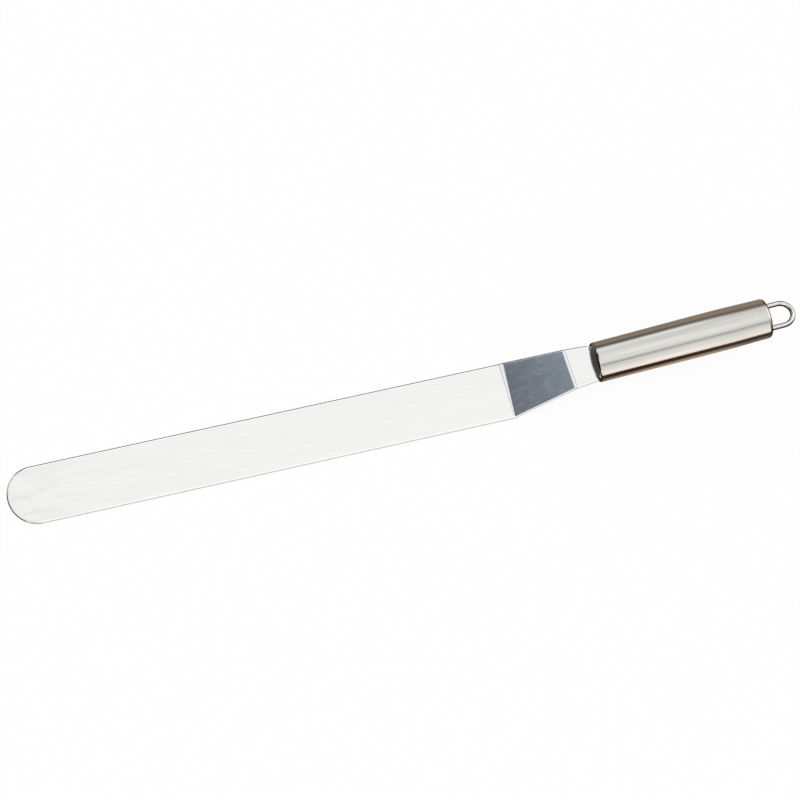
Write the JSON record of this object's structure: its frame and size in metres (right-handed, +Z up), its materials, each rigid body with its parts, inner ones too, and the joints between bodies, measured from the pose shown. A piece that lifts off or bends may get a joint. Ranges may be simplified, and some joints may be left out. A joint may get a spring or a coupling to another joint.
{
  "type": "offset icing spatula",
  "caption": "Offset icing spatula with a long round-tipped steel blade, a cranked neck, a hollow brushed-steel handle and a wire hanging loop.",
  "frame": {"origin": "on the plane of the blade's underside, below the middle of the overall length and width", "axes": "+X from the blade tip to the hanging loop, +Y across the blade, +Z up from the flat blade"},
  "size_m": [0.4152, 0.0316, 0.0309],
  "materials": {
    "blade_steel": "stainless strip, fine satin polish",
    "handle_steel": "stainless tube, brushed lengthwise",
    "cap_steel": "pressed stainless sheet, polished",
    "wire_steel": "polished stainless wire"
  },
  "bodies": {
    "root": {"blade": "blade_steel", "front_cap": "cap_steel", "handle_tube": "handle_steel", "rear_cap": "cap_steel", "hanging_loop": "wire_steel"}
  },
  "joints": []
}
